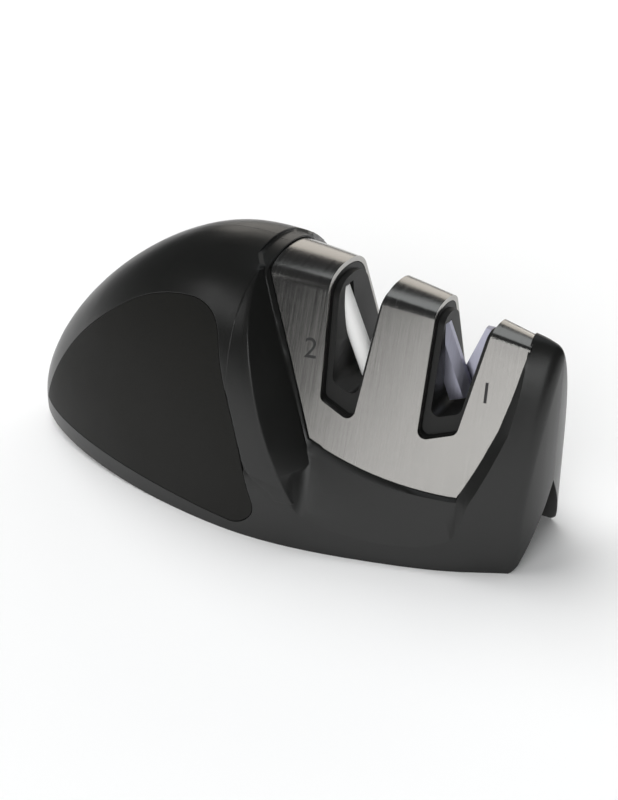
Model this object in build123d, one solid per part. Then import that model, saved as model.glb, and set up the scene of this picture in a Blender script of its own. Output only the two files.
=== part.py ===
"""Two-stage manual knife sharpener: a mouse-shaped housing with a steel saddle over crossed abrasives.

Millimetres. X runs along the length, nose at -X; the front that the user faces is -Y; Z is up and the
feet stand on Z = 0. The object is the same at front and rear, so most pieces are drawn as front halves.
"""
from build123d import *
import os
from math import atan, cos, sin, tan

os.makedirs("parts", exist_ok=True)

# Housing
LENGTH = 105.0
WIDTH = 43.6
WIDEST_X = 4.0
DOME_HEIGHT = 47.2
DOME_TOP_X = -8.0
NOSE_HEIGHT = 2.6
NOSE_LIFT = 3.0
LIFT_START_X = -5.0
END_WIDTH = 17.4
END_ROUND = 21.0
END_EDGE_ROUND = 2.5
WALL = 2.6
CAVITY_NOSE_X = -41.0
CAVITY_END_X = -3.5
NOSE_PLAN_SHARES = (1.6, 0.5)
NOSE_RISE_SHARES = (1.55, 0.62)
END_TAPER_SHARE = 1.75
DOME_ARCH_SHARES = (1.05, 0.69, 0.68)
END_ARCH_SHARES = (1.08, 0.55, 0.42)
STATION_SHARES = (-0.998, -0.985, -0.95, -0.89, -0.8, -0.68, -0.53, -0.36, -0.16, 0.06, 0.3, 0.55, 0.8, 1.02)

# Steel saddle: its ridge and faces, each given at mid length and at the right end
RIDGE_HEIGHT = 46.3
RIDGE_FALL = 8.3
SHOULDER_MID = 8.3
SHOULDER_END = 2.0
SHOULDER_DROP_MID = 3.6
SHOULDER_DROP_END = 0.9
SHEET = 0.8
RIDGE_BOW_SHARE = 0.35
FACE_SLOPE_MID_SHARE = 0.372
FACE_SLOPE_END_SHARE = 0.262
CROWN_SHARE = 0.6
BEND_SHARE = 0.55
SADDLE_STATION_SHARES = (-0.04, 0.25, 0.6, 1.04)

# Window of the housing through which the steel shows
WINDOW_LEFT_X = 2.3
WINDOW_TOP = 44.5
WINDOW_CORNER_X = 16.3
WINDOW_LEFT_LOW = 17.6
WINDOW_RIGHT_X = 47.3
WINDOW_RIGHT_TOP = 37.2
WINDOW_RIGHT_LOW = 12.9
WINDOW_SWEEP = 7.3
WINDOW_ROUND = 2.0
WINDOW_BOW = 1.2
WINDOW_SAG = 1.2
TUCK = 1.2
RIGHT_TUCK = 0.25
FIT = 0.12

# Recess round the window: its lip, left wall, right bevel and sill
LIP = 0.8
LIP_RIDGE = 0.35
LIP_LEFT_TOP = 0.7
LIP_LEFT_LOW = 2.3
LIP_RIGHT = 0.4
LIP_LOWS = (2.0, 0.3)
LIP_STEP = 0.2
COLLAR_X = -0.5
COLLAR_HEIGHT = 46.2
RECESS_BEYOND = 2.2
RECESS_FLARE_TOP = 3.9
RECESS_FLARE_LOW = 7.0
RECESS_RIGHT_FLARE = 36.0
RUN_IN_SHARE = 0.1
SILL_RIMS = (6.7, 6.5)
SILL_STATION_SHARES = (-0.9, 0.0, 0.5, 1.0, 1.5)
RECESS_ROUND = 5.0
RIM_ROUND = 0.8
BEVEL_FLARE_TOP = 10.0
BEVEL_FLARE_LOW = 20.0
BEVEL_RIGHT_FLARE = 6.0
BEVEL_SLOPE_SHARES = (1.2, 0.5)

# Slots, fine at the left and coarse at the right
SLOT_GAUGE = 42.0
FINE_X = 18.0
FINE_WIDTH = 9.4
FINE_FLOOR = 23.6
COARSE_X = 36.5
COARSE_WIDTH = 9.8
COARSE_FLOOR = 22.1
SLOT_ROUND = 1.4
FINE_TILT_SHARE = -0.5
COARSE_TILT_SHARE = 0.32
SLOT_TAPER_SHARE = 0.09
FINE_LEAN_SHARE = 0.0
COARSE_LEAN_SHARE = 0.077
LEDGE_SIDE = 1.0
LEDGE_FLOOR = 2.8
LEDGE_DEPTH = 1.0

# Cassette
CASSETTE_BASE = 20.6
CASSETTE_INSET = 0.5

# Abrasives
ROD_DIAMETER = 3.2
ROD_LENGTH = 18.6
ROD_FOOT = 5.2
ROD_GAP = 0.6
ABRASIVE_LEAN_DEG = 22.4
FINE_CROSS_HEIGHT = 28.9
BLADE_THICK = 2.0
BLADE_WIDTH = 4.0
BLADE_LENGTH = 13.2
BLADE_FOOT = 5.2
BLADE_GAP = 0.3
BLADE_BEVEL = 1.1
BLADE_LAND_SHARE = 0.3
COARSE_NOTCH_HEIGHT = 31.7

# Underside
GROOVE_HALF = 9.6
GROOVE_APEX = 14.2
GROOVE_START_X = -30.0
FRAME_START_X = -42.0
FRAME_END_X = 37.0
LINER = 1.4
FRAME = 1.6
RABBET = 0.8
FOOT_START_X = -24.0
FOOT_END_X = 30.0
FOOT_MARGIN = 0.4
PLAN_SHARES = (0.0, 0.17, 0.34, 0.5, 0.67, 0.84, 1.0)

# Grip pads on the dome
PAD_THICK = 1.3
PAD_GAP = 0.12
PAD_BACK_START_X = -50.5
PAD_BACK_END_X = 12.0
PAD_LEFT_X = -48.5
PAD_RIGHT_X = 6.8
PAD_TOP = 39.3
PAD_LOW = 3.6
PAD_SHARES = (
    (0.0, 0.06), (0.1, 0.33), (0.21, 0.55), (0.35, 0.75), (0.52, 0.92), (0.68, 0.995),
    (0.755, 0.995), (0.812, 0.95), (0.853, 0.8), (0.885, 0.66), (0.92, 0.52), (0.96, 0.31),
    (0.988, 0.15), (1.0, 0.06), (0.975, 0.0), (0.9, -0.035),
)

# Screws
SCREW_DIAMETER = 2.2
SCREW_HEAD_DIAMETER = 4.0
SCREW_HEAD_HEIGHT = 1.1
SCREW_LENGTH = 8.0
BASE_SCREW_XS = (-14.0, 18.0)
BOSS_DIAMETER = 6.0
BOSS_TOP = 11.0
CASSETTE_SCREW_SEAT = 5.4
CASSETTE_SCREW_XS = (11.3, 26.8)
CASSETTE_SCREW_HEIGHTS = (33.5, 29.0)
DRIVE_WIDTH = 0.7
DRIVE_LENGTH = 2.4
DRIVE_DEPTH = 0.6

# Locating pins of the shells
PIN_DIAMETER = 3.0
PIN_LENGTH = 4.0
PIN_BOSS_DIAMETER = 7.0
PIN_XS = (-32.0, -12.0)
PIN_HEIGHTS = (24.0, 34.0)

OVERRUN = 20.0

HALF_LENGTH = LENGTH / 2
RECESS_REACH = WIDTH / 2 + RECESS_BEYOND


# Housing surface
def half_width(x):
    """Half of the housing's width on the ground at x."""
    if x <= WIDEST_X:
        reach = min(1, (WIDEST_X - x) / (WIDEST_X + HALF_LENGTH))
        power, root = NOSE_PLAN_SHARES
        return WIDTH / 2 * (1 - reach**power) ** root
    reach = (x - WIDEST_X) / (HALF_LENGTH - WIDEST_X)
    return WIDTH / 2 - (WIDTH - END_WIDTH) / 2 * reach**END_TAPER_SHARE


def ridge(x):
    """Height of the steel's ridge at x."""
    reach = x / HALF_LENGTH
    return RIDGE_HEIGHT - RIDGE_FALL * (RIDGE_BOW_SHARE * reach + (1 - RIDGE_BOW_SHARE) * reach * abs(reach))


def crest(x):
    """Height of the housing's crest at x."""
    if x <= DOME_TOP_X:
        reach = min(1, (DOME_TOP_X - x) / (DOME_TOP_X + HALF_LENGTH))
        power, root = NOSE_RISE_SHARES
        return NOSE_HEIGHT + (DOME_HEIGHT - NOSE_HEIGHT) * (1 - reach**power) ** root
    step = (DOME_HEIGHT - RIDGE_HEIGHT) * (1 - max(0, x) / HALF_LENGTH)
    return ridge(max(0, x)) + step


def base_lift(x):
    """Rise of the housing's lower edge towards the nose."""
    reach = max(0, (LIFT_START_X - x) / (LIFT_START_X + HALF_LENGTH))
    return NOSE_LIFT * reach**2


def arch_shares(x):
    """Control shares of the arch at x, blended from the dome to the end."""
    reach = min(1, max(0, x / HALF_LENGTH))
    return [a + (b - a) * reach for a, b in zip(DOME_ARCH_SHARES, END_ARCH_SHARES)]


def half_arch(x, inset):
    """Front half of the housing's section at x; drawn in by inset, it also runs below the base by inset."""
    side = half_width(x) - inset
    top = crest(x) - inset
    low = base_lift(x)
    hip, rise, crown = arch_shares(x)
    foot = Vector(x, -side, low)
    peak = Vector(x, 0, top)
    belly = Vector(x, -side * hip, low + rise * (top - low))
    flank = Bezier(foot, belly, Vector(x, -side * crown, top), peak)
    floor = Vector(x, 0, low - inset)
    corner = Vector(x, -side, low - inset)
    sides = [flank, Line(peak, floor), Line(floor, corner)]
    if inset:
        sides.append(Line(corner, foot))
    return Wire(sides)


def half_housing(inset, first, last):
    """Front half of the housing between two places, drawn in by inset."""
    inner = [share * HALF_LENGTH for share in STATION_SHARES]
    xs = [first] + [x for x in inner if first < x < last] + [last]
    return Solid.make_loft([half_arch(x, inset) for x in xs])


def outer_half():
    """Whole front half of the housing, with its rounded end."""
    body = half_housing(0, STATION_SHARES[0] * HALF_LENGTH, STATION_SHARES[-1] * HALF_LENGTH)
    centre_x = HALF_LENGTH - END_ROUND
    plan = Pos(centre_x, 0, 0) * Cylinder(END_ROUND, LENGTH)
    plan += Pos(centre_x - HALF_LENGTH, 0, 0) * Box(LENGTH, LENGTH, LENGTH)
    body = body & plan
    end_edge = body.edges().sort_by_distance(Vector(HALF_LENGTH, -END_WIDTH / 2, DOME_HEIGHT / 2))[:1]
    return body.fillet(END_EDGE_ROUND, end_edge)


# Steel surface
def blend(mid, end, x):
    """A size that runs evenly from mid length to the right end."""
    return mid + (end - mid) * x / HALF_LENGTH


def shoulder(x, inset, face_inset):
    """Depth and height of the saddle's shoulder at x, and the slope of the face below it."""
    slope = blend(FACE_SLOPE_MID_SHARE, FACE_SLOPE_END_SHARE, x)
    depth = blend(SHOULDER_MID, SHOULDER_END, x) - face_inset / cos(atan(slope)) + slope * inset
    return depth, ridge(x) - inset - blend(SHOULDER_DROP_MID, SHOULDER_DROP_END, x), slope


def face_depth(x, z, face_inset):
    """Depth of the saddle's face in front of the middle plane."""
    depth, height, slope = shoulder(x, 0, face_inset)
    return depth + slope * (height - z)


def half_saddle_section(x, inset, face_inset):
    """Front half of the saddle's section at x, its ridge and its face drawn in."""
    depth, height, slope = shoulder(x, inset, face_inset)
    top = ridge(x) - inset
    rise = BEND_SHARE * (top - height)
    peak = Vector(x, 0, top)
    bend = Vector(x, -depth, height)
    foot = Vector(x, -depth - slope * height, 0)
    turn = Vector(x, slope * rise - depth, height + rise)
    crown = Bezier(peak, Vector(x, -depth * CROWN_SHARE, top), turn, bend)
    return Wire([crown, Line(bend, foot), Line(foot, (x, 0, 0)), Line((x, 0, 0), peak)])


def half_saddle(inset, face_inset):
    """Front half of the block under the steel's outer face, its ridge and its face drawn in."""
    xs = [share * HALF_LENGTH for share in SADDLE_STATION_SHARES]
    return Solid.make_loft([half_saddle_section(x, inset, face_inset) for x in xs])


def half_block(inset):
    """Front half of the block under the steel's outer face, evenly drawn in."""
    return half_saddle(inset, inset)


# Outlines seen from the front, pushed through the object along Y
def through(face):
    """Prism of an outline in the XZ plane, right through the object."""
    return extrude(face, WIDTH, (0, 1, 0), both=True)


def window_face(grow, right_grow):
    """Outline of the steel that shows, made larger on its left, lower and right sides."""
    top = DOME_HEIGHT + OVERRUN
    left_x = WINDOW_LEFT_X - grow
    right_x = WINDOW_RIGHT_X + right_grow
    left_corner = Vector(WINDOW_CORNER_X - grow, 0, WINDOW_LEFT_LOW - grow)
    right_corner = Vector(right_x - WINDOW_SWEEP, 0, WINDOW_RIGHT_LOW - grow)
    right_top = Vector(right_x, 0, WINDOW_RIGHT_TOP)
    sag = (left_corner + right_corner) / 2 - Vector(0, 0, WINDOW_SAG)
    bow = (right_corner + right_top) / 2 + Vector(WINDOW_BOW, 0, 0)
    outline = [
        Line((right_x, 0, top), (left_x, 0, top)),
        Line((left_x, 0, top), (left_x, 0, WINDOW_TOP)),
        Line((left_x, 0, WINDOW_TOP), left_corner),
        ThreePointArc(left_corner, sag, right_corner),
        ThreePointArc(right_corner, bow, right_top),
        Line(right_top, (right_x, 0, top)),
    ]
    face = Face(Wire(outline))
    corners = [v for v in face.vertices() if v.Z < WINDOW_LEFT_LOW + WINDOW_ROUND]
    return face.fillet_2d(WINDOW_ROUND, corners)


def slot_face(gauge_x, width, floor, lean, tilt, ledge_side):
    """Tapered slot outline with a tilted floor and round lower corners, drawn in by a ledge at its sides."""

    def edge(z, side):
        fall = SLOT_GAUGE - z
        half = width / 2 - SLOT_TAPER_SHARE * fall - ledge_side
        return Vector(gauge_x - lean * fall + side * half, 0, z)

    rise = tilt * (edge(floor, 1) - edge(floor, -1)).length / 2
    top = DOME_HEIGHT + OVERRUN
    outline = [edge(floor - rise, -1), edge(floor + rise, 1), edge(top, 1), edge(top, -1)]
    face = Face(Wire.make_polygon(outline))
    corners = [v for v in face.vertices() if v.Z < SLOT_GAUGE]
    return face.fillet_2d(SLOT_ROUND, corners)


def slots(ledge_side, ledge_floor):
    """Both slots as prisms along Y, drawn in by ledges."""
    fine_floor = FINE_FLOOR + ledge_floor
    coarse_floor = COARSE_FLOOR + ledge_floor
    fine = slot_face(FINE_X, FINE_WIDTH, fine_floor, FINE_LEAN_SHARE, FINE_TILT_SHARE, ledge_side)
    coarse = slot_face(COARSE_X, COARSE_WIDTH, coarse_floor, COARSE_LEAN_SHARE, COARSE_TILT_SHARE, ledge_side)
    return through(fine) + through(coarse)


# Recess of the housing round the steel
def wall_section(z, lip, rim, far):
    """Space between a wall of the recess and a far place at one height; lip and rim are x and depth."""
    inner_x, inner_depth = [a + RUN_IN_SHARE * (a - b) for a, b in zip(lip, rim)]
    corners = [(inner_x, 0), (inner_x, inner_depth), rim, (far, rim[1]), (far, 0)]
    return Wire.make_polygon([Vector(x, -depth, z) for x, depth in corners])


def left_space(lip_top, lip_low, collar_x, flare_top, flare_low, inset):
    """Space right of a wall that leans along the window, then turns into a collar at the crest."""
    below = WINDOW_LEFT_LOW / (WINDOW_TOP - WINDOW_LEFT_LOW)
    lip_foot = lip_low + (lip_low - lip_top) * below
    flare_foot = flare_low + (flare_low - flare_top) * below
    collar = ((collar_x, RECESS_REACH / 2), (collar_x, RECESS_REACH))
    stations = [
        (0, (lip_foot, face_depth(lip_foot, 0, inset)), (lip_foot - flare_foot, RECESS_REACH)),
        (WINDOW_TOP, (lip_top, face_depth(lip_top, WINDOW_TOP, inset)), (lip_top - flare_top, RECESS_REACH)),
        (COLLAR_HEIGHT, *collar),
        (DOME_HEIGHT + OVERRUN, *collar),
    ]
    return Solid.make_loft([wall_section(*station, LENGTH) for station in stations], True)


def right_space(margin, flare, inset):
    """Space left of a wall that follows the window's bowed right side at a margin."""
    top_x = WINDOW_RIGHT_X + margin
    low_x = top_x - WINDOW_SWEEP
    mid_x = (top_x + low_x) / 2 + WINDOW_BOW
    mid = (WINDOW_RIGHT_TOP + WINDOW_RIGHT_LOW) / 2
    stations = [(0, low_x), (WINDOW_RIGHT_LOW, low_x), (mid, mid_x), (WINDOW_RIGHT_TOP, top_x)]
    edges = [(z, (x, face_depth(x, z, inset)), (x + flare, RECESS_REACH)) for z, x in stations]
    edges.append((DOME_HEIGHT + OVERRUN, *edges[-1][1:]))
    return Solid.make_loft([wall_section(*edge, -LENGTH) for edge in edges], True)


def sill_section(share, margins, slopes, inset):
    """Space above a slope below the window, at a share of the way along the window's lower side."""
    left_x = WINDOW_CORNER_X
    right_x = WINDOW_RIGHT_X - WINDOW_SWEEP
    x = left_x + (right_x - left_x) * share
    window_low = WINDOW_LEFT_LOW + (WINDOW_RIGHT_LOW - WINDOW_LEFT_LOW) * share
    window_low -= 4 * WINDOW_SAG * share * (1 - share)
    low = window_low - margins[0] - (margins[1] - margins[0]) * share
    slope = slopes[0] + (slopes[1] - slopes[0]) * share
    depth = face_depth(x, low, inset)
    top = DOME_HEIGHT + OVERRUN
    inner = Vector(x, 0, low + slope * depth)
    outer = Vector(x, -RECESS_REACH, low + slope * (depth - RECESS_REACH))
    return Wire.make_polygon([inner, outer, Vector(x, -RECESS_REACH, top), Vector(x, 0, top)])


def sill_space(margins, slopes, inset):
    """Space above a slope that follows the window's lower side; margins and slopes are left and right."""
    return Solid.make_loft([sill_section(share, margins, slopes, inset) for share in SILL_STATION_SHARES])


def sill_slopes(margins, inset):
    """Slopes of the sill at its two ends, from the lip down to the rim on the housing's side."""
    ends = ((WINDOW_CORNER_X, WINDOW_LEFT_LOW), (WINDOW_RIGHT_X - WINDOW_SWEEP, WINDOW_RIGHT_LOW))
    slopes = []
    for (x, window_low), margin, rim in zip(ends, margins, SILL_RIMS):
        low = window_low - margin
        slopes.append((low - rim) / (half_width(x) - face_depth(x, low, inset)))
    return slopes


def recess():
    """Front recess, open at the top and in front, down to the lip round the steel."""
    lip_top = WINDOW_LEFT_X - LIP_LEFT_TOP
    lip_low = WINDOW_CORNER_X - LIP_LEFT_LOW
    left = left_space(lip_top, lip_low, COLLAR_X, RECESS_FLARE_TOP, RECESS_FLARE_LOW, -LIP)
    space = left & sill_space(LIP_LOWS, sill_slopes(LIP_LOWS, -LIP), -LIP)
    corner = Vector(lip_low, -face_depth(lip_low, WINDOW_LEFT_LOW, -LIP), WINDOW_LEFT_LOW)
    space = space.fillet(RECESS_ROUND, space.edges().sort_by_distance(corner)[:1])
    return (space & right_space(LIP_RIGHT, RECESS_RIGHT_FLARE, -LIP)) - half_saddle(-LIP_RIDGE, -LIP)


def lip_bevel():
    """Funnel that slopes from the lip's crest down to the steel at the window's edge."""
    collar_x = WINDOW_LEFT_X + LIP_STEP
    left = left_space(WINDOW_LEFT_X, WINDOW_CORNER_X, collar_x, BEVEL_FLARE_TOP, BEVEL_FLARE_LOW, -LIP_STEP)
    funnel = left & sill_space((0, 0), BEVEL_SLOPE_SHARES, -LIP_STEP)
    return (funnel & right_space(0, BEVEL_RIGHT_FLARE, -LIP_STEP)) - half_block(0)


# Underside
def above(z):
    """All space above a height."""
    return Pos(0, 0, z + LENGTH / 2) * Box(2 * LENGTH, LENGTH, LENGTH)


def half_plan(inset, first, last):
    """Front half of the housing's footprint between two places, drawn in by inset."""
    xs = [first + (last - first) * share for share in PLAN_SHARES]
    rim = Spline([Vector(x, inset - half_width(x), 0) for x in xs])
    start = Vector(first, 0, 0)
    end = Vector(last, 0, 0)
    return Face(Wire([Line(start, rim @ 0), rim, Line(rim @ 1, end), Line(end, start)]))


def groove(offset, first, last):
    """Prism of the V groove between two places, its sides moved outwards by offset."""
    lean = atan(GROOVE_HALF / GROOVE_APEX)
    apex = GROOVE_APEX + offset / sin(lean)
    half = (apex + OVERRUN) * tan(lean)
    corners = [Vector(first, -half, -OVERRUN), Vector(first, half, -OVERRUN), Vector(first, 0, apex)]
    return extrude(Face(Wire.make_polygon(corners)), last - first, (1, 0, 0))


def both(half):
    """A front half joined with its rear mirror image."""
    return half + half.mirror(Plane.XZ)


# Screws
def rod(diameter, low, high):
    """Cylinder on the Z axis between two heights."""
    return Pos(0, 0, (low + high) / 2) * Cylinder(diameter / 2, high - low)


def screw():
    """Screw with its head's seat on Z = 0, shank upwards and a straight drive slot below."""
    body = rod(SCREW_HEAD_DIAMETER, -SCREW_HEAD_HEIGHT, 0) + rod(SCREW_DIAMETER, 0, SCREW_LENGTH)
    return body - Pos(0, 0, -SCREW_HEAD_HEIGHT) * Box(DRIVE_LENGTH, DRIVE_WIDTH, 2 * DRIVE_DEPTH)


def screw_space():
    """Room for a screw and for the driver below its head."""
    head = rod(SCREW_HEAD_DIAMETER + 2 * FIT, -OVERRUN, 0)
    return head + rod(SCREW_DIAMETER + 2 * FIT, 0, SCREW_LENGTH + FIT)


def base_screw_y(x):
    """Middle of a foot pad at x, between the groove and the outer edge."""
    inner = GROOVE_HALF + (LINER + FIT) / cos(atan(GROOVE_HALF / GROOVE_APEX))
    return (inner + half_width(x) - WALL - FIT - FOOT_MARGIN) / 2


def base_place(x, side):
    """Place of a base screw; side is -1 at the front and 1 at the rear."""
    return Pos(x, side * base_screw_y(x), LINER)


def cassette_place(index):
    """Place of a cassette screw, its head towards the rear."""
    return Pos(CASSETTE_SCREW_XS[index], CASSETTE_SCREW_SEAT, CASSETTE_SCREW_HEIGHTS[index]) * Rot(90, 0, 0)


# Grip pads
def pad_face(grow):
    """Outline of a grip pad seen from the front, made larger by grow."""
    span_x = PAD_RIGHT_X - PAD_LEFT_X + 2 * grow
    span_z = PAD_TOP - PAD_LOW + 2 * grow
    points = [Vector(PAD_LEFT_X - grow + u * span_x, 0, PAD_LOW - grow + v * span_z) for u, v in PAD_SHARES]
    curve = Spline(points)
    return Face(Wire([curve, Line(curve @ 1, curve @ 0)]))


def pad_skin(grow, thick):
    """Front skin of the housing inside a pad's outline."""
    return through(pad_face(grow)) - half_housing(thick, PAD_BACK_START_X, PAD_BACK_END_X)


# Abrasives
def abrasive_frame(x, depth, z):
    """Place in the front half whose Z axis leans to -X like the front abrasive."""
    return Pos(x, -depth, z) * Rot(0, -ABRASIVE_LEAN_DEG, 0)


def slot_middle(gauge_x, lean, z):
    """Middle of a slot at a height."""
    return gauge_x - lean * (SLOT_GAUGE - z)


ROD_X = slot_middle(FINE_X, FINE_LEAN_SHARE, FINE_CROSS_HEIGHT)
BLADE_X = slot_middle(COARSE_X, COARSE_LEAN_SHARE, COARSE_NOTCH_HEIGHT)
ROD_DEPTH = (ROD_DIAMETER + ROD_GAP) / 2


def fine_rod():
    """Front ceramic rod."""
    place = abrasive_frame(ROD_X, ROD_DEPTH, FINE_CROSS_HEIGHT)
    return place * rod(ROD_DIAMETER, -ROD_FOOT, ROD_LENGTH - ROD_FOOT)


def fine_rod_space():
    """Room for the front rod, open to the middle plane so that it can be laid in."""
    place = abrasive_frame(ROD_X, ROD_DEPTH, FINE_CROSS_HEIGHT)
    length = ROD_LENGTH + 2 * FIT
    width = ROD_DIAMETER + 2 * FIT
    seat = rod(width, -ROD_FOOT - FIT, length - ROD_FOOT - FIT)
    entry = Pos(0, ROD_DEPTH / 2, length / 2 - ROD_FOOT - FIT) * Box(width, ROD_DEPTH, length)
    return place * (seat + entry)


def blade_block(grow, near):
    """Plate of the front blade behind its cutting edge, made larger by grow, from near the middle plane."""
    far = BLADE_GAP / 2 + BLADE_THICK + grow
    length = BLADE_LENGTH + 2 * grow
    width = BLADE_WIDTH + 2 * grow
    plate = Box(width, far - near, length)
    return Pos(grow - width / 2, -(far + near) / 2, length / 2 - BLADE_FOOT - grow) * plate


def coarse_blade():
    """Front carbide blade with its bevelled cutting edge."""
    plate = blade_block(0, BLADE_GAP / 2)
    edge = plate.edges().filter_by(Axis.Z).sort_by(Axis.X)[-2:].sort_by(Axis.Y)[0]
    plate = plate.chamfer(BLADE_BEVEL, BLADE_THICK * (1 - BLADE_LAND_SHARE), [edge], None)
    return abrasive_frame(BLADE_X, 0, COARSE_NOTCH_HEIGHT) * plate


def coarse_blade_space():
    """Room for the front blade, open to the middle plane."""
    return abrasive_frame(BLADE_X, 0, COARSE_NOTCH_HEIGHT) * blade_block(FIT, 0)


def to_rear(shape, x):
    """Rear copy of a front abrasive, turned half round the slot's upright axis."""
    return Pos(x, 0, 0) * Rot(0, 0, 180) * Pos(-x, 0, 0) * shape


# Cassette
def cassette_block(side):
    """Block under the steel, above the cassette's base, inside the window drawn in by side."""
    return half_block(SHEET + FIT) & through(window_face(-side, -side)) & above(CASSETTE_BASE)


def half_cassette():
    """Front half of the cassette without its screw holes."""
    block = cassette_block(CASSETTE_INSET)
    sunk = slots(0, 0) - half_block(SHEET + LEDGE_DEPTH)
    return block - sunk - slots(LEDGE_SIDE, LEDGE_FLOOR)


# Shells
def bosses(outer):
    """Bosses inside the dome for the locating pins and the base screws."""
    depth = WIDTH / 2
    found = []
    for x, z in zip(PIN_XS, PIN_HEIGHTS):
        found.append(Pos(x, 0, z) * Rot(90, 0, 0) * rod(PIN_BOSS_DIAMETER, 0, depth))
    low = LINER + FRAME
    x = BASE_SCREW_XS[0]
    y = base_screw_y(x)
    found.append(Pos(x, -y, 0) * rod(BOSS_DIAMETER, low, BOSS_TOP))
    web = Box(BOSS_DIAMETER, depth - y, BOSS_TOP - low)
    found.append(Pos(x, -(depth + y) / 2, (low + BOSS_TOP) / 2) * web)
    return [boss & outer for boss in found]


def half_shell():
    """Front shell without its locating pins."""
    outer = outer_half()
    cut = recess()
    shell = outer - cut
    rim = new_edges(outer, cut, combined=shell).sort_by(SortBy.LENGTH)
    shell = shell.fillet(RIM_ROUND, rim[-2:])
    shell -= half_housing(WALL, CAVITY_NOSE_X, CAVITY_END_X)
    for boss in bosses(outer):
        shell += boss
    shell -= lip_bevel()
    shell -= through(window_face(0, 0)) - half_block(0)
    sheet_space = half_block(-FIT) - half_block(SHEET + FIT)
    shell -= sheet_space & through(window_face(TUCK + FIT, RIGHT_TUCK + FIT))
    shell -= cassette_block(CASSETTE_INSET - FIT)
    pocket = half_plan(WALL - RABBET, FRAME_START_X - FIT, FRAME_END_X + FIT)
    shell -= extrude(pocket, LINER + FRAME, (0, 0, 1)) + extrude(pocket, OVERRUN, (0, 0, -1))
    shell -= groove(LINER + FRAME + FIT, GROOVE_START_X - FRAME - FIT, FRAME_END_X + FIT)
    shell -= groove(0, GROOVE_START_X, HALF_LENGTH + OVERRUN)
    shell -= pad_skin(PAD_GAP, PAD_THICK)
    for x in BASE_SCREW_XS:
        shell -= base_place(x, -1) * screw_space()
    return shell


def pins(diameter, first, last):
    """Locating pins along Y between two depths."""
    found = [Pos(x, 0, z) * Rot(-90, 0, 0) * rod(diameter, first, last) for x, z in zip(PIN_XS, PIN_HEIGHTS)]
    return found[0] + found[1]


pieces = {}

shell = half_shell()
pieces["front_shell"] = shell + pins(PIN_DIAMETER, -PIN_LENGTH, PIN_LENGTH)
pieces["rear_shell"] = shell.mirror(Plane.XZ) - pins(PIN_DIAMETER + 2 * FIT, -FIT, PIN_LENGTH + FIT)

sheet = (half_block(0) - half_block(SHEET)) & through(window_face(TUCK, RIGHT_TUCK))
pieces["steel_saddle"] = both(sheet) - slots(0, 0)

cassette = half_cassette()
spaces = [fine_rod_space(), coarse_blade_space()]
front_cassette = cassette
rear_cassette = cassette.mirror(Plane.XZ)
for space, x in zip(spaces, (ROD_X, BLADE_X)):
    front_cassette -= space
    rear_cassette -= to_rear(space, x)
for index in range(len(CASSETTE_SCREW_XS)):
    front_cassette -= cassette_place(index) * screw_space()
    rear_cassette -= cassette_place(index) * screw_space()
    pieces[f"cassette_screw_{index + 1}"] = cassette_place(index) * screw()
pieces["cassette_front"] = front_cassette
pieces["cassette_rear"] = rear_cassette

pieces["fine_rod_front"] = fine_rod()
pieces["fine_rod_rear"] = to_rear(fine_rod(), ROD_X)
pieces["coarse_blade_front"] = coarse_blade()
pieces["coarse_blade_rear"] = to_rear(coarse_blade(), BLADE_X)

grip_pad = outer_half() & pad_skin(0, PAD_THICK - FIT)
pieces["front_grip_pad"] = grip_pad
pieces["rear_grip_pad"] = grip_pad.mirror(Plane.XZ)

fold_start = GROOVE_START_X - FRAME
flats = extrude(half_plan(WALL - RABBET + FIT, FRAME_START_X, FRAME_END_X), LINER + FRAME, (0, 0, 1))
frame = both(flats) + (groove(LINER + FRAME, fold_start, FRAME_END_X) & above(0))
frame = (frame & above(LINER)) - groove(LINER, GROOVE_START_X, FRAME_END_X + OVERRUN)
liner = (groove(LINER, GROOVE_START_X, FRAME_END_X) & above(0)) - groove(0, fold_start, FRAME_END_X + OVERRUN)
foot = extrude(half_plan(WALL + FIT + FOOT_MARGIN, FOOT_START_X, FOOT_END_X), LINER, (0, 0, 1))
foot -= groove(LINER + FIT, fold_start, FRAME_END_X)
number = 0
for side in (-1, 1):
    for x in BASE_SCREW_XS:
        number += 1
        frame -= base_place(x, side) * screw_space()
        pieces[f"base_screw_{number}"] = base_place(x, side) * screw()
for x in BASE_SCREW_XS:
    foot -= base_place(x, -1) * screw_space()
pieces["base_frame"] = frame
pieces["groove_liner"] = liner
pieces["front_foot_pad"] = foot
pieces["rear_foot_pad"] = foot.mirror(Plane.XZ)

for name, piece in pieces.items():
    export_step(piece, f"parts/{name}.step")
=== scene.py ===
import math

import bmesh
import bpy
from bpy.props import FloatProperty, FloatVectorProperty, PointerProperty
from mathutils import Matrix, Vector


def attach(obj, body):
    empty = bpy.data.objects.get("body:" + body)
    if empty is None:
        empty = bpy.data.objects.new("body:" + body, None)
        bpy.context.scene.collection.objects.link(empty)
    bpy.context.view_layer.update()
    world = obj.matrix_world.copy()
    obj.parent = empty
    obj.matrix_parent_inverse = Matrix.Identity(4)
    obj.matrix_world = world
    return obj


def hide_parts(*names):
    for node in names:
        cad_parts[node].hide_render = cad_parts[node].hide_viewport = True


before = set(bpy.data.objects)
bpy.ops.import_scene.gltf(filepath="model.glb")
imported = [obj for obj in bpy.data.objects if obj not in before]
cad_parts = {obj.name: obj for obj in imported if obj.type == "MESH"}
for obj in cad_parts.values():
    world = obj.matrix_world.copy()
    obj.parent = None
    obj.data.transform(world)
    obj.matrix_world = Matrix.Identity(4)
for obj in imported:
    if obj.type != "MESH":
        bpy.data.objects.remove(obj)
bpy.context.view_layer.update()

bl_info = {
    "name": "Two-stage knife sharpener",
    "version": (1, 0, 0),
    "blender": (4, 5, 0),
    "location": "View3D > Sidebar > Sharpener",
    "description": "Dresses the sharpener's solids with plastics, brushed steel and abrasives, and sets the studio",
    "category": "Object",
}

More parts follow.
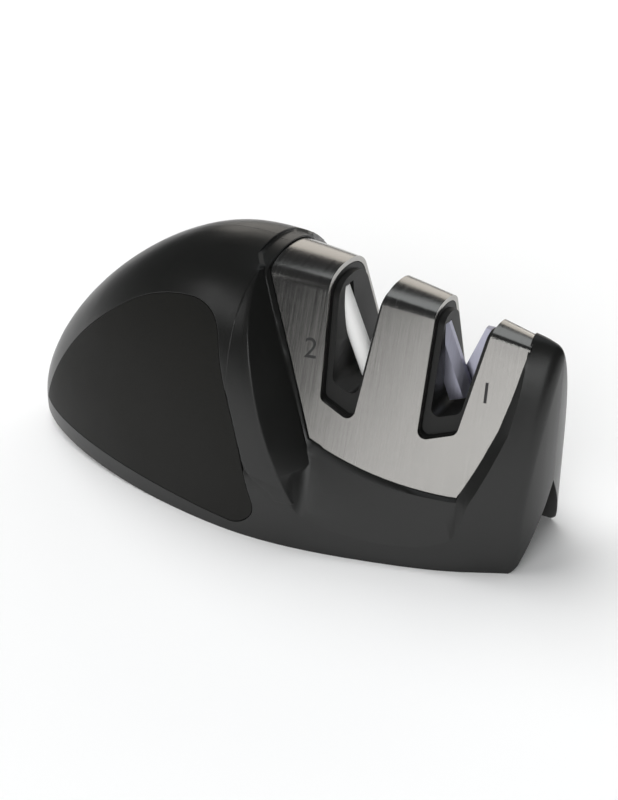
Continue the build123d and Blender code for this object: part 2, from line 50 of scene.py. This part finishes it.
MM = 0.001

# Pieces that show the shells: name, CAD node, and which way from the middle it faces
HOUSINGS = (("front_housing", "front_shell", -1), ("rear_housing", "rear_shell", 1))
GRIP_NODES = ("front_grip_pad", "rear_grip_pad")
CASSETTE_NODES = ("cassette_front", "cassette_rear")
ROD_NODES = ("fine_rod_front", "fine_rod_rear")
BLADE_NODES = ("coarse_blade_front", "coarse_blade_rear")
RUBBER_NODES = ("groove_liner", "front_foot_pad", "rear_foot_pad")
SCREW_NODES = tuple(name for name in sorted(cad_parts) if "screw" in name)

# Points nearer than this, in metres, are one point of a CAD mesh
MERGE = 0.000001
# Angles in degrees past which an edge stays sharp
SHARP_ANGLE = 35
BLADE_SHARP_ANGLE = 20

# Part of a noise mask's range that a finish is spread over
MASK_SPAN = (0.3, 0.7)
# Uneven patches per metre
BLOTCH = 70.0
FLOOR_BLOTCH = 2.0
# How far roughness strays from its setting over a surface
PLASTIC_STRAY = (-0.04, 0.05)
METAL_STRAY = (-0.07, 0.08)

# Finishes set beside the shells' own: times its grain, or added to its roughness
GRIP_GRAIN = 1.4
UNDERSIDE_GRAIN = 2
CASSETTE_MATT = 0.1
BASE_MATT = 0.12

# Stage numbers on the steel's front: name, figure, and its X and Z in the frame
MARKS = (
    ("coarse_stage_number", "1", 0.0418, 0.0306),
    ("fine_stage_number", "2", 0.0118, 0.0331),
)
# Y of a point well in front of the steel, from which its surface is sought
IN_FRONT = -1

# Steep left cheek of the recess, from its top down, in millimetres: height, then X and distance from
# the middle plane of four points along the dome's skin, the last of them on the rim, and of the lip
CHEEK = (
    (44.6, (0.40, 9.324), (1.23, 9.208), (1.31, 9.195), (1.40, 9.180), (1.55, 8.58)),
    (43.5, (-0.30, 10.882), (1.00, 10.780), (1.27, 10.743), (1.58, 10.701), (2.06, 8.88)),
    (42, (-0.80, 12.481), (0.88, 12.439), (1.36, 12.387), (1.89, 12.325), (2.75, 9.30)),
    (39, (-1.00, 14.858), (0.82, 14.867), (1.68, 14.802), (2.64, 14.718), (4.14, 10.13)),
    (36, (-1.10, 16.555), (0.86, 16.593), (2.09, 16.528), (3.47, 16.432), (5.52, 10.97)),
    (33, (-1.00, 17.841), (1.08, 17.890), (2.63, 17.834), (4.37, 17.724), (6.90, 11.80)),
    (30, (-0.40, 18.882), (1.22, 18.915), (3.14, 18.870), (5.30, 18.732), (8.28, 12.63)),
    (27, (0.65, 19.699), (1.58, 19.718), (3.79, 19.682), (6.27, 19.510), (9.67, 13.47)),
    (24, (1.70, 20.348), (2.62, 20.366), (4.82, 20.309), (7.30, 20.119), (11.05, 14.30)),
    (21, (2.85, 20.863), (3.76, 20.874), (5.94, 20.777), (8.38, 20.572), (12.43, 15.13)),
    (18, (3.85, 21.247), (4.79, 21.237), (7.04, 21.108), (9.57, 20.874), (13.82, 15.97)),
    (15, (4.70, 21.506), (5.72, 21.480), (8.16, 21.317), (10.91, 21.035), (15.20, 16.80)),
    (13.5, (5.30, 21.609), (7.18, 21.524), (9.28, 21.350), (11.63, 21.088), (14.50, 17.65)),
    (12, (6.80, 21.627), (9.01, 21.475), (10.62, 21.311), (12.44, 21.089), (13.90, 19.04)),
    (10.8, (8.80, 21.545), (10.81, 21.360), (11.91, 21.230), (13.14, 21.067), (13.90, 19.69)),
    (9.8, (10.40, 21.426), (12.27, 21.222), (12.99, 21.127), (13.80, 21.012), (14.10, 20.01)),
    (8.8, (11.00, 21.398), (12.89, 21.130), (13.65, 21.024), (14.52, 20.897), (14.30, 20.32)),
)
# The cheek's hidden side, in millimetres: along X and inwards from the lip, and inwards from the skin
LIP_ROOT = (0.1, 0.5)
SKIN_ROOT = 0.35
# The rim's place among a section's points, and the first section whose rim is rounded
RIM_POINT = 3
RIM_START = 2

# Point that the lights are turned to
STAGE_CENTRE = (0, 0, 0.025)
# Distance from the middle of the floor to its edge, in metres
FLOOR_REACH = 60.0
WORLD_COLOUR = (0.94, 0.98, 1.0, 1)

# Soft lights: name, setting of its strength, and place
SOFT_LIGHTS = (
    ("key_light", "key_strength", (-0.50, 0.13, 0.85)),
    ("fill_light", "fill_strength", (0.15, -0.80, 0.40)),
)

# Light cards: name, setting of its brightness, place, width and height, and colour
CARDS = (
    ("front_card", "front_glow", (0.085, -0.60, 0.10), (0.27, 0.20), (1, 1, 1)),
    ("edge_card", "edge_glow", (0.19, -0.54, 0.27), (0.16, 0.14), (0.98, 1, 1)),
    ("side_card", "side_glow", (-0.32, -0.37, 0.35), (0.25, 0.20), (1, 1, 1)),
    ("back_card", "back_glow", (-0.15, 0.56, 0.27), (0.62, 0.30), (1, 0.95, 0.88)),
    ("rear_card", "rear_glow", (0.15, 0.60, 0.14), (0.40, 0.28), (1, 1, 1)),
    ("top_card", "top_glow", (0.08, 0.18, 0.58), (0.36, 0.66), (0.92, 0.97, 1)),
)

# Camera fitted to the photograph: its turn and place as one matrix
CAMERA_POSE = (
    (0.868708, -0.243441, 0.431373, 0.121616),
    (0.495325, 0.426951, -0.756549, -0.203310),
    (0.0, 0.870890, 0.491478, 0.148506),
    (0, 0, 0, 1),
)
SENSOR_WIDTH = 36
NEAR_CLIP = 0.01


# Settings that a user would change
class HousingSettings(bpy.types.PropertyGroup):
    colour: FloatVectorProperty(
        name="Plastic", description="Colour of the moulded shells", subtype="COLOR",
        size=4, min=0, max=1, default=(0.0068, 0.0069, 0.0065, 1),
    )
    grip_colour: FloatVectorProperty(
        name="Grip", description="Colour of the soft pads on the dome", subtype="COLOR",
        size=4, min=0, max=1, default=(0.0080, 0.0079, 0.0070, 1),
    )
    cassette_colour: FloatVectorProperty(
        name="Cassette", description="Colour of the plastic inside the slots", subtype="COLOR",
        size=4, min=0, max=1, default=(0.010, 0.010, 0.0095, 1),
    )
    rubber_colour: FloatVectorProperty(
        name="Rubber", description="Colour of the foot pads and the groove's liner", subtype="COLOR",
        size=4, min=0, max=1, default=(0.022, 0.022, 0.0225, 1),
    )
    grain: FloatProperty(
        name="Grain", description="Width of the moulded grain", unit="LENGTH",
        min=0.00005, max=0.002, default=0.00022,
    )
    rim: FloatProperty(
        name="Rim", description="Rounding of the rim between the dome and the recess", unit="LENGTH",
        min=0.00005, max=0.0006, default=0.0003,
    )
    edge: FloatProperty(
        name="Edges", description="Radius at which the shells' sharp edges catch the light", unit="LENGTH",
        min=0, max=0.001, default=0.00022,
    )
    roughness: FloatProperty(
        name="Roughness", description="How matt the shells are", subtype="FACTOR", min=0, max=1, default=0.31,
    )
    grip_roughness: FloatProperty(
        name="Grip roughness", description="How matt the soft pads are", subtype="FACTOR",
        min=0, max=1, default=0.58,
    )


class MetalSettings(bpy.types.PropertyGroup):
    steel_colour: FloatVectorProperty(
        name="Steel", description="Colour of the brushed saddle", subtype="COLOR",
        size=4, min=0, max=1, default=(0.38, 0.371, 0.356, 1),
    )
    carbide_colour: FloatVectorProperty(
        name="Carbide", description="Colour of the coarse blades", subtype="COLOR",
        size=4, min=0, max=1, default=(0.50, 0.50, 0.60, 1),
    )
    ceramic_colour: FloatVectorProperty(
        name="Ceramic", description="Colour of the fine rods", subtype="COLOR",
        size=4, min=0, max=1, default=(0.86, 0.86, 0.85, 1),
    )
    screw_colour: FloatVectorProperty(
        name="Screws", description="Colour of the plated screws", subtype="COLOR",
        size=4, min=0, max=1, default=(0.5, 0.5, 0.49, 1),
    )
    brush_width: FloatProperty(
        name="Brush width", description="Width of one brushing line", unit="LENGTH",
        min=0.00002, max=0.001, default=0.00009,
    )
    brush_length: FloatProperty(
        name="Brush length", description="Length of one brushing line", unit="LENGTH",
        min=0.0005, max=0.05, default=0.012,
    )
    steel_roughness: FloatProperty(
        name="Steel roughness", description="How matt the brushed steel is", subtype="FACTOR",
        min=0, max=1, default=0.2,
    )


class MarkSettings(bpy.types.PropertyGroup):
    height: FloatProperty(
        name="Height", description="Height of the stage numbers on the steel", unit="LENGTH",
        min=0.001, max=0.006, default=0.0034,
    )
    ink: FloatProperty(
        name="Ink", description="Thickness of the printed ink", unit="LENGTH",
        min=0.00001, max=0.0002, default=0.00003,
    )
    colour: FloatVectorProperty(
        name="Ink colour", description="Colour of the printed ink", subtype="COLOR",
        size=4, min=0, max=1, default=(0.02, 0.02, 0.02, 1),
    )


class StageSettings(bpy.types.PropertyGroup):
    floor_colour: FloatVectorProperty(
        name="Floor", description="Colour of the studio floor", subtype="COLOR",
        size=4, min=0, max=1, default=(0.92, 0.92, 0.92, 1),
    )
    world_strength: FloatProperty(
        name="World", description="Strength of the even light all round", min=0, max=2, default=0.05,
    )
    key_strength: FloatProperty(
        name="Key light", description="Strength of the soft light from the upper left",
        min=0, max=20, default=2.2,
    )
    fill_strength: FloatProperty(
        name="Fill light", description="Strength of the soft light from the front",
        min=0, max=20, default=1.8,
    )
    spread: FloatProperty(
        name="Spread", description="Width of the soft lights, as seen from the object", subtype="ANGLE",
        min=0, max=math.pi, default=math.radians(55),
    )
    front_glow: FloatProperty(
        name="Front card", description="Brightness of the low card in front, beside a white of 1",
        min=0, max=20, default=1.0,
    )
    edge_glow: FloatProperty(
        name="Edge card", description="Brightness of the small card at the front right, beside a white of 1",
        min=0, max=20, default=5.0,
    )
    side_glow: FloatProperty(
        name="Side card", description="Brightness of the card at the front left, beside a white of 1",
        min=0, max=20, default=1.3,
    )
    back_glow: FloatProperty(
        name="Back card", description="Brightness of the card behind, beside a white of 1",
        min=0, max=20, default=1.2,
    )
    rear_glow: FloatProperty(
        name="Rear card", description="Brightness of the low card behind, beside a white of 1",
        min=0, max=20, default=0.8,
    )
    top_glow: FloatProperty(
        name="Top card", description="Brightness of the card overhead, beside a white of 1",
        min=0, max=20, default=0.55,
    )
    lens: FloatProperty(
        name="Lens", description="Focal length of the camera", unit="CAMERA", min=20, max=200, default=67.5,
    )


SETTINGS = {
    "sharpener_housing": HousingSettings,
    "sharpener_metal": MetalSettings,
    "sharpener_marks": MarkSettings,
    "sharpener_stage": StageSettings,
}


# Material building
def add_node(tree, kind, **values):
    """Adds a node; values are inputs by name, or node settings."""
    node = tree.nodes.new(kind)
    for name, value in values.items():
        label = name.replace("_", " ").title()
        if label in node.inputs:
            node.inputs[label].default_value = value
        else:
            setattr(node, name, value)
    return node


def start_material(name):
    """A material with its Principled shader, and the Object coordinates of its piece."""
    material = bpy.data.materials.new(name)
    material.use_nodes = True
    tree = material.node_tree
    shader = tree.nodes["Principled BSDF"]
    place = add_node(tree, "ShaderNodeTexCoord").outputs["Object"]
    return material, tree, shader, place


def start_group(name, inputs, outputs):
    """A shader node group with named inputs and outputs."""
    group = bpy.data.node_groups.new(name, "ShaderNodeTree")
    for label, kind, default in inputs:
        socket = group.interface.new_socket(name=label, in_out="INPUT", socket_type=kind)
        if default is not None:
            socket.default_value = default
    for label, kind in outputs:
        group.interface.new_socket(name=label, in_out="OUTPUT", socket_type=kind)
    source = group.nodes.new("NodeGroupInput")
    result = group.nodes.new("NodeGroupOutput")
    return group, source, result


def grain_group():
    """Fine moulded grain with a broad unevenness below it."""
    name = "moulded_grain"
    if name in bpy.data.node_groups:
        return bpy.data.node_groups[name]
    group, source, result = start_group(
        name,
        [
            ("Vector", "NodeSocketVector", None),
            ("Grain", "NodeSocketFloat", 4000.0),
            ("Blotch", "NodeSocketFloat", 90.0),
        ],
        [("Height", "NodeSocketFloat"), ("Shade", "NodeSocketFloat")],
    )
    fine = add_node(group, "ShaderNodeTexNoise", detail=2.0, roughness=0.55)
    broad = add_node(group, "ShaderNodeTexNoise", detail=3.0, roughness=0.5)
    group.links.new(source.outputs["Vector"], fine.inputs["Vector"])
    group.links.new(source.outputs["Vector"], broad.inputs["Vector"])
    group.links.new(source.outputs["Grain"], fine.inputs["Scale"])
    group.links.new(source.outputs["Blotch"], broad.inputs["Scale"])
    group.links.new(fine.outputs["Fac"], result.inputs["Height"])
    group.links.new(broad.outputs["Fac"], result.inputs["Shade"])
    return group


def brushing_group():
    """Long thin streaks across X that run on over a bend from Y to Z."""
    name = "brushing"
    if name in bpy.data.node_groups:
        return bpy.data.node_groups[name]
    group, source, result = start_group(
        name,
        [
            ("Vector", "NodeSocketVector", None),
            ("Across", "NodeSocketFloat", 6000.0),
            ("Along", "NodeSocketFloat", 110.0),
        ],
        [("Height", "NodeSocketFloat"), ("Streak", "NodeSocketFloat")],
    )
    stretch = group.nodes.new("ShaderNodeCombineXYZ")
    group.links.new(source.outputs["Across"], stretch.inputs["X"])
    group.links.new(source.outputs["Along"], stretch.inputs["Y"])
    group.links.new(source.outputs["Along"], stretch.inputs["Z"])
    scaled = add_node(group, "ShaderNodeVectorMath", operation="MULTIPLY")
    group.links.new(source.outputs["Vector"], scaled.inputs[0])
    group.links.new(stretch.outputs["Vector"], scaled.inputs[1])
    fine = add_node(group, "ShaderNodeTexNoise", scale=1.0, detail=3.0, roughness=0.6)
    broad = add_node(group, "ShaderNodeTexNoise", scale=0.22, detail=2.0, roughness=0.5)
    group.links.new(scaled.outputs["Vector"], fine.inputs["Vector"])
    group.links.new(scaled.outputs["Vector"], broad.inputs["Vector"])
    both = add_node(group, "ShaderNodeMath", operation="ADD")
    half = add_node(group, "ShaderNodeMath", operation="MULTIPLY")
    half.inputs[1].default_value = 0.5
    group.links.new(fine.outputs["Fac"], both.inputs[0])
    group.links.new(broad.outputs["Fac"], both.inputs[1])
    group.links.new(both.outputs[0], half.inputs[0])
    group.links.new(fine.outputs["Fac"], result.inputs["Height"])
    group.links.new(half.outputs[0], result.inputs["Streak"])
    return group


def place_group(tree, group, place, **values):
    """A group in a material, fed with the piece's coordinates."""
    node = tree.nodes.new("ShaderNodeGroup")
    node.node_tree = group
    tree.links.new(place, node.inputs["Vector"])
    for name, value in values.items():
        node.inputs[name.title()].default_value = value
    return node


def vary(tree, mask, value, stray, socket):
    """Lets a value stray down and up along a mask, into a socket."""
    node = add_node(tree, "ShaderNodeMapRange")
    node.inputs["From Min"].default_value, node.inputs["From Max"].default_value = MASK_SPAN
    node.inputs["To Min"].default_value = value + stray[0]
    node.inputs["To Max"].default_value = value + stray[1]
    tree.links.new(mask, node.inputs["Value"])
    tree.links.new(node.outputs["Result"], socket)


def tint(tree, mask, colour, change, socket):
    """Varies a colour by a share of itself along a mask, into a socket."""
    ramp = add_node(tree, "ShaderNodeValToRGB")
    dark = [c * (1 - change) for c in colour[:3]] + [1]
    light = [min(1, c * (1 + change)) for c in colour[:3]] + [1]
    for stop, position, shade in zip(ramp.color_ramp.elements, MASK_SPAN, (dark, light)):
        stop.position = position
        stop.color = shade
    tree.links.new(mask, ramp.inputs["Fac"])
    tree.links.new(ramp.outputs["Color"], socket)


def bump(tree, height, shader, relief, edge=0):
    """Raises a surface by a height map, over edges that look rounded by a radius."""
    node = add_node(tree, "ShaderNodeBump", distance=relief)
    tree.links.new(height, node.inputs["Height"])
    if edge:
        rounding = add_node(tree, "ShaderNodeBevel", samples=6, radius=edge)
        tree.links.new(rounding.outputs["Normal"], node.inputs["Normal"])
    tree.links.new(node.outputs["Normal"], shader.inputs["Normal"])


def plastic(name, colour, grain, roughness, relief, change=0.12, gloss=0.5, edge=0):
    """Moulded plastic or rubber, fired ceramic or ink, with its grain."""
    material, tree, shader, place = start_material(name)
    shader.inputs["Specular IOR Level"].default_value = gloss
    texture = place_group(tree, grain_group(), place, grain=1 / grain, blotch=BLOTCH)
    tint(tree, texture.outputs["Shade"], colour, change, shader.inputs["Base Color"])
    vary(tree, texture.outputs["Shade"], roughness, PLASTIC_STRAY, shader.inputs["Roughness"])
    bump(tree, texture.outputs["Height"], shader, relief, edge)
    return material


def brushed_metal(name, colour, roughness, width, length, relief, change=0.07):
    """Metal with upright brushing lines of a width and length."""
    material, tree, shader, place = start_material(name)
    texture = place_group(tree, brushing_group(), place, across=1 / width, along=1 / length)
    tint(tree, texture.outputs["Streak"], colour, change, shader.inputs["Base Color"])
    vary(tree, texture.outputs["Streak"], roughness, METAL_STRAY, shader.inputs["Roughness"])
    bump(tree, texture.outputs["Height"], shader, relief)
    shader.inputs["Metallic"].default_value = 1.0
    return material


def finish(piece, material, angle=SHARP_ANGLE):
    """Gives a piece its material and shades its curved faces smooth."""
    piece.data.materials.clear()
    piece.data.materials.append(material)
    piece.data.polygons.foreach_set("use_smooth", [True] * len(piece.data.polygons))
    weld = piece.modifiers.new("weld", "WELD")
    weld.merge_threshold = MERGE
    split = piece.modifiers.new("sharp_edges", "EDGE_SPLIT")
    split.split_angle = math.radians(angle)


def dress(names, material, angle=SHARP_ANGLE):
    """Finishes CAD nodes by name."""
    for name in names:
        finish(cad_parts[name], material, angle)


# Pieces
class SHARPENER_OT_housing(bpy.types.Operator):
    """Show the two shells in satin black plastic, each with the steep cheek of its recess"""
    bl_idname = "sharpener.housing"
    bl_label = "Housing"

    def execute(self, context):
        values = context.scene.sharpener_housing
        material = plastic(
            "shell_plastic", values.colour, values.grain, values.roughness,
            relief=0.000012, gloss=0.52, edge=values.edge,
        )
        for name, node, side in HOUSINGS:
            piece = bpy.data.objects.new(name, self.shell_mesh(name, node, side, values.rim))
            context.collection.objects.link(piece)
            finish(piece, material)
            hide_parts(node)
            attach(piece, "root")
        return {"FINISHED"}

    def shell_mesh(self, name, node, side, rim):
        """A shell's mesh with its recess closed in by the steep cheek between the dome and the lip."""
        mesh = bpy.data.meshes.new(name)
        shape = bmesh.new()
        shape.from_mesh(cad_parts[node].data)
        bmesh.ops.remove_doubles(shape, verts=shape.verts, dist=MERGE)
        self.add_cheek(shape, side, rim)
        shape.to_mesh(mesh)
        shape.free()
        return mesh

    def add_cheek(self, shape, side, rim):
        """Adds the cheek as a closed wedge of bridged sections, its rim rounded."""
        sections = []
        for height, *skin, lip in CHEEK:
            lip_root = (lip[0] + LIP_ROOT[0], lip[1] - LIP_ROOT[1])
            skin_root = (skin[1][0], skin[1][1] - SKIN_ROOT)
            sections.append([
                shape.verts.new((x * MM, side * depth * MM, height * MM))
                for x, depth in (*skin, lip, lip_root, skin_root)
            ])
        rings = [[shape.edges.new(pair) for pair in zip(ring, ring[1:] + ring[:1])] for ring in sections]
        faces = []
        for upper, lower in zip(rings, rings[1:]):
            faces += bmesh.ops.bridge_loops(shape, edges=upper + lower)["faces"]
        for ring in (rings[0], rings[-1]):
            faces += bmesh.ops.contextual_create(shape, geom=ring)["faces"]
        bmesh.ops.recalc_face_normals(shape, faces=faces)
        rim_points = [section[RIM_POINT] for section in sections[RIM_START:]]
        rim_edges = [shape.edges.get(pair) for pair in zip(rim_points, rim_points[1:])]
        bmesh.ops.bevel(
            shape, geom=rim_edges, offset=rim, segments=3, profile=0.5, affect="EDGES", material=-1,
            clamp_overlap=False,
        )


class SHARPENER_OT_grips(bpy.types.Operator):
    """Dress the grip pads in soft-touch rubber"""
    bl_idname = "sharpener.grips"
    bl_label = "Grip pads"

    def execute(self, context):
        values = context.scene.sharpener_housing
        material = plastic(
            "soft_touch_pad", values.grip_colour, values.grain * GRIP_GRAIN, values.grip_roughness,
            relief=0.00002, gloss=0.2,
        )
        dress(GRIP_NODES, material)
        return {"FINISHED"}


class SHARPENER_OT_saddle(bpy.types.Operator):
    """Dress the saddle in upright-brushed steel"""
    bl_idname = "sharpener.saddle"
    bl_label = "Steel saddle"

    def execute(self, context):
        values = context.scene.sharpener_metal
        material = brushed_metal(
            "brushed_saddle", values.steel_colour, values.steel_roughness,
            values.brush_width, values.brush_length, relief=0.000006,
        )
        dress(("steel_saddle",), material)
        return {"FINISHED"}


class SHARPENER_OT_cassette(bpy.types.Operator):
    """Dress the cassette inside the slots in dark grey plastic"""
    bl_idname = "sharpener.cassette"
    bl_label = "Cassette"

    def execute(self, context):
        values = context.scene.sharpener_housing
        material = plastic(
            "cassette_plastic", values.cassette_colour, values.grain, values.roughness + CASSETTE_MATT,
            relief=0.000012, gloss=0.3,
        )
        dress(CASSETTE_NODES, material)
        return {"FINISHED"}


class SHARPENER_OT_abrasives(bpy.types.Operator):
    """Dress the ceramic rods and the carbide blades"""
    bl_idname = "sharpener.abrasives"
    bl_label = "Rods and blades"

    def execute(self, context):
        values = context.scene.sharpener_metal
        ceramic = plastic(
            "unglazed_ceramic", values.ceramic_colour, grain=0.00012, roughness=0.5, relief=0.000008, change=0.03,
        )
        dress(ROD_NODES, ceramic)
        carbide = brushed_metal(
            "ground_carbide", values.carbide_colour, roughness=0.34, width=0.00009, length=0.004,
            relief=0.000004, change=0.1,
        )
        dress(BLADE_NODES, carbide, BLADE_SHARP_ANGLE)
        return {"FINISHED"}


class SHARPENER_OT_underside(bpy.types.Operator):
    """Dress the base frame, the groove's liner and the foot pads"""
    bl_idname = "sharpener.underside"
    bl_label = "Underside"

    def execute(self, context):
        values = context.scene.sharpener_housing
        grain = values.grain * UNDERSIDE_GRAIN
        base = plastic("base_plastic", values.colour, grain, values.roughness + BASE_MATT, relief=0.00003)
        dress(("base_frame",), base)
        rubber = plastic("foot_rubber", values.rubber_colour, grain, roughness=0.75, relief=0.00004)
        dress(RUBBER_NODES, rubber)
        return {"FINISHED"}


class SHARPENER_OT_screws(bpy.types.Operator):
    """Dress the screws in dull plated steel"""
    bl_idname = "sharpener.screws"
    bl_label = "Screws"

    def execute(self, context):
        values = context.scene.sharpener_metal
        material = brushed_metal(
            "plated_screw", values.screw_colour, roughness=0.4, width=0.0002, length=0.0006, relief=0.000004,
        )
        dress(SCREW_NODES, material)
        return {"FINISHED"}


class SHARPENER_OT_marks(bpy.types.Operator):
    """Print the plain stage numbers beside the slots"""
    bl_idname = "sharpener.marks"
    bl_label = "Stage numbers"

    def execute(self, context):
        values = context.scene.sharpener_marks
        material = plastic("printed_ink", values.colour, grain=0.0001, roughness=0.6, relief=0.000004)
        for name, figure, x, z in MARKS:
            mark = self.figure_mesh(context, name, figure, values)
            self.print_on_steel(mark, x, z)
            piece = bpy.data.objects.new(name, mark)
            context.collection.objects.link(piece)
            mark.materials.append(material)
            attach(piece, "root")
        return {"FINISHED"}

    def figure_mesh(self, context, name, figure, values):
        """A figure as a mesh of the set height, centred on its origin and as thick behind it as before it."""
        curve = bpy.data.curves.new(name, "FONT")
        curve.body = figure
        curve.extrude = 0.5
        writing = bpy.data.objects.new(name, curve)
        context.collection.objects.link(writing)
        graph = context.evaluated_depsgraph_get()
        mesh = bpy.data.meshes.new_from_object(writing.evaluated_get(graph))
        bpy.data.objects.remove(writing)
        mesh.name = name
        shape = bmesh.new()
        shape.from_mesh(mesh)
        bmesh.ops.remove_doubles(shape, verts=shape.verts, dist=0.0001)
        low = [min(v.co[i] for v in shape.verts) for i in range(2)]
        high = [max(v.co[i] for v in shape.verts) for i in range(2)]
        centre = Vector(((low[0] + high[0]) / 2, (low[1] + high[1]) / 2, 0))
        size = values.height / (high[1] - low[1])
        bmesh.ops.translate(shape, verts=shape.verts, vec=-centre)
        bmesh.ops.scale(shape, verts=shape.verts, vec=(size, size, 2 * values.ink))
        shape.to_mesh(mesh)
        shape.free()
        return mesh

    def print_on_steel(self, mark, x, z):
        """Stands a figure upright and lays each of its points on the steel's front."""
        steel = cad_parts["steel_saddle"]
        ahead = Vector((0, 1, 0))
        hit, spot, normal, _ = steel.ray_cast(Vector((x, IN_FRONT, z)), ahead)
        if not hit:
            raise RuntimeError("a stage number misses the steel")
        up = (Vector((0, 0, 1)) - normal * normal.z).normalized()
        along = up.cross(normal)
        for vertex in mark.vertices:
            u, v, rise = vertex.co
            place = spot + along * u + up * v
            hit, surface, _, _ = steel.ray_cast(Vector((place.x, IN_FRONT, place.z)), ahead)
            if not hit:
                raise RuntimeError("a stage number hangs over the steel's edge")
            vertex.co = surface + normal * rise


class SHARPENER_OT_stage(bpy.types.Operator):
    """Set the floor, the lights, the world and the camera"""
    bl_idname = "sharpener.stage"
    bl_label = "Studio"

    def execute(self, context):
        values = context.scene.sharpener_stage
        self.make_floor(context, values)
        self.make_world(context.scene, values)
        self.make_lights(context.scene, values)
        self.make_camera(context.scene, values)
        context.scene.view_settings.view_transform = "Standard"
        return {"FINISHED"}

    def make_floor(self, context, values):
        """A wide pale floor that keeps the object's shadow."""
        mesh = bpy.data.meshes.new("studio_floor")
        shape = bmesh.new()
        bmesh.ops.create_grid(shape, x_segments=2, y_segments=2, size=FLOOR_REACH)
        shape.to_mesh(mesh)
        shape.free()
        floor = bpy.data.objects.new("studio_floor", mesh)
        context.collection.objects.link(floor)
        material, tree, shader, place = start_material("floor_paper")
        texture = place_group(tree, grain_group(), place, blotch=FLOOR_BLOTCH)
        tint(
            tree, texture.outputs["Shade"], values.floor_colour, change=0.004, socket=shader.inputs["Base Color"],
        )
        shader.inputs["Roughness"].default_value = 0.9
        shader.inputs["Specular IOR Level"].default_value = 0.0
        mesh.materials.append(material)

    def make_world(self, scene, values):
        """Dim even light all round, as in a darkened studio."""
        world = bpy.data.worlds.new("studio_world")
        scene.world = world
        world.use_nodes = True
        back = world.node_tree.nodes["Background"]
        back.inputs["Color"].default_value = WORLD_COLOUR
        back.inputs["Strength"].default_value = values.world_strength

    def make_lights(self, scene, values):
        """Soft lights for the colours, and cards that the plastic and the steel mirror."""
        for name, setting, place in SOFT_LIGHTS:
            self.soft_light(scene, name, place, getattr(values, setting), values.spread)
        for name, setting, place, size, colour in CARDS:
            self.card(scene, name, place, size, getattr(values, setting), colour)

    def soft_light(self, scene, name, place, strength, spread):
        """A broad light that brings out colours and leaves no mirror image of itself."""
        light = bpy.data.lights.new(name, "SUN")
        light.energy = strength
        light.angle = spread
        self.hang(scene, name, light, place).visible_glossy = False

    def card(self, scene, name, place, size, glow, colour):
        """A rectangular light card that looks as bright as its glow, whatever its size."""
        light = bpy.data.lights.new(name, "AREA")
        light.shape = "RECTANGLE"
        light.size, light.size_y = size
        light.energy = glow * math.pi * size[0] * size[1]
        light.color = colour
        self.hang(scene, name, light, place)

    def hang(self, scene, name, light, place):
        """Hangs a light at a place and turns it to the object."""
        lamp = bpy.data.objects.new(name, light)
        lamp.location = place
        lamp.rotation_euler = (Vector(STAGE_CENTRE) - Vector(place)).to_track_quat("-Z", "Y").to_euler()
        scene.collection.objects.link(lamp)
        return lamp

    def make_camera(self, scene, values):
        """The camera at the photograph's place."""
        data = bpy.data.cameras.new("main_camera")
        data.lens = values.lens
        data.sensor_width = SENSOR_WIDTH
        data.clip_start = NEAR_CLIP
        camera = bpy.data.objects.new("main_camera", data)
        camera.matrix_world = Matrix(CAMERA_POSE)
        scene.collection.objects.link(camera)
        scene.camera = camera


OPERATORS = (
    SHARPENER_OT_housing,
    SHARPENER_OT_grips,
    SHARPENER_OT_saddle,
    SHARPENER_OT_cassette,
    SHARPENER_OT_abrasives,
    SHARPENER_OT_underside,
    SHARPENER_OT_screws,
    SHARPENER_OT_marks,
    SHARPENER_OT_stage,
)


class SHARPENER_PT_panel(bpy.types.Panel):
    """Sidebar panel with the sharpener's pieces"""
    bl_label = "Knife sharpener"
    bl_idname = "SHARPENER_PT_panel"
    bl_space_type = "VIEW_3D"
    bl_region_type = "UI"
    bl_category = "Sharpener"

    def draw(self, context):
        for name, group in SETTINGS.items():
            box = self.layout.box()
            for label in group.__annotations__:
                box.prop(getattr(context.scene, name), label)
        for operator in OPERATORS:
            self.layout.operator(operator.bl_idname)


CLASSES = tuple(SETTINGS.values()) + OPERATORS + (SHARPENER_PT_panel,)


def register():
    for cls in CLASSES:
        bpy.utils.register_class(cls)
    for name, group in SETTINGS.items():
        setattr(bpy.types.Scene, name, PointerProperty(type=group))


def unregister():
    for name in SETTINGS:
        delattr(bpy.types.Scene, name)
    for cls in reversed(CLASSES):
        bpy.utils.unregister_class(cls)


def main():
    register()
    bpy.ops.sharpener.housing()
    bpy.ops.sharpener.grips()
    bpy.ops.sharpener.saddle()
    bpy.ops.sharpener.cassette()
    bpy.ops.sharpener.abrasives()
    bpy.ops.sharpener.underside()
    bpy.ops.sharpener.screws()
    bpy.ops.sharpener.marks()
    bpy.ops.sharpener.stage()


if __name__ == "__main__":
    main()
